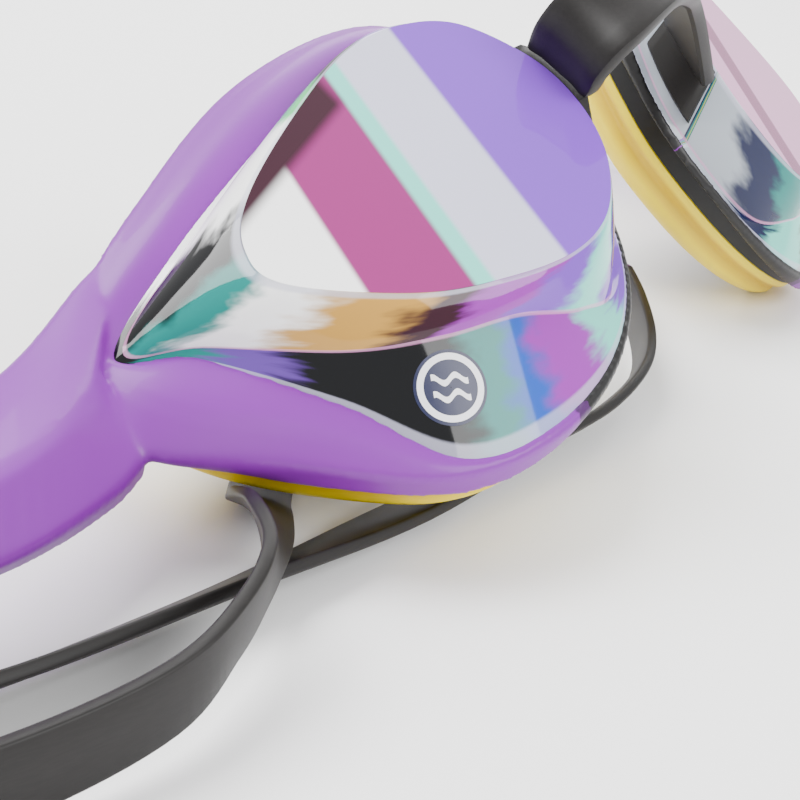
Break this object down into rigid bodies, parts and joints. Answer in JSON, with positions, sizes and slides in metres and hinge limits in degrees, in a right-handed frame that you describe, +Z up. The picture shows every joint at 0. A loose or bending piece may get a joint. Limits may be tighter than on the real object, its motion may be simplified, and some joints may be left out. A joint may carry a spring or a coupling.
{
  "type": "swim goggles",
  "caption": "Racing swim goggles lying folded on a table: two mirrored eyecups with soft eye seals, a flexible nose strip, temple arms, split head bands and a rear clip.",
  "frame": {"origin": "centre of the bounding box's underside, on the table", "axes": "+Z up from the table, +Y along the longest extent from the rear clip towards the far eyecup, +X to the right"},
  "size_m": [0.1619, 0.2561, 0.0524],
  "materials": {
    "mirror_lens": "rainbow mirror coating on a clear moulding",
    "purple_shell": "smooth moulded",
    "black_carrier": "satin",
    "yellow_seal": "soft satin silicone",
    "white_badge": "printed",
    "black_rubber": "satin silicone",
    "purple_rubber": "satin silicone"
  },
  "bodies": {
    "right_cup": {"right_frame": "purple_shell", "right_lens": "mirror_lens", "right_rim": "black_carrier", "right_gasket": "yellow_seal", "right_badge": "white_badge", "right_bridge_foot": "black_rubber", "nose_bridge": "black_rubber", "upper_band": "black_rubber", "lower_band": "black_rubber", "upper_tail": "purple_rubber", "lower_tail": "purple_rubber"},
    "left_cup": {"left_frame": "purple_shell", "left_lens": "mirror_lens", "left_rim": "black_carrier", "left_gasket": "yellow_seal", "left_badge": "white_badge", "left_bridge_foot": "black_rubber"},
    "rear_clip": {"clip_body": "black_carrier", "clip_cap": "black_carrier"}
  },
  "joints": [
    {"name": "bridge_flex", "type": "hinge", "parent": "right_cup", "child": "left_cup", "pos_m": [0.0378, 0.0163, 0.0487], "axis": [0.7454, -0.2981, -0.5963], "range_deg": [0, 30], "stiffness_Nm_per_rad": 0.4, "deforming": ["nose_bridge", "upper_tail", "lower_tail", "upper_band", "lower_band"]},
    {"name": "clip_slide", "type": "slide", "parent": "right_cup", "child": "rear_clip", "axis": [1, 0, 0], "range_m": [-0.006, 0.006]}
  ]
}
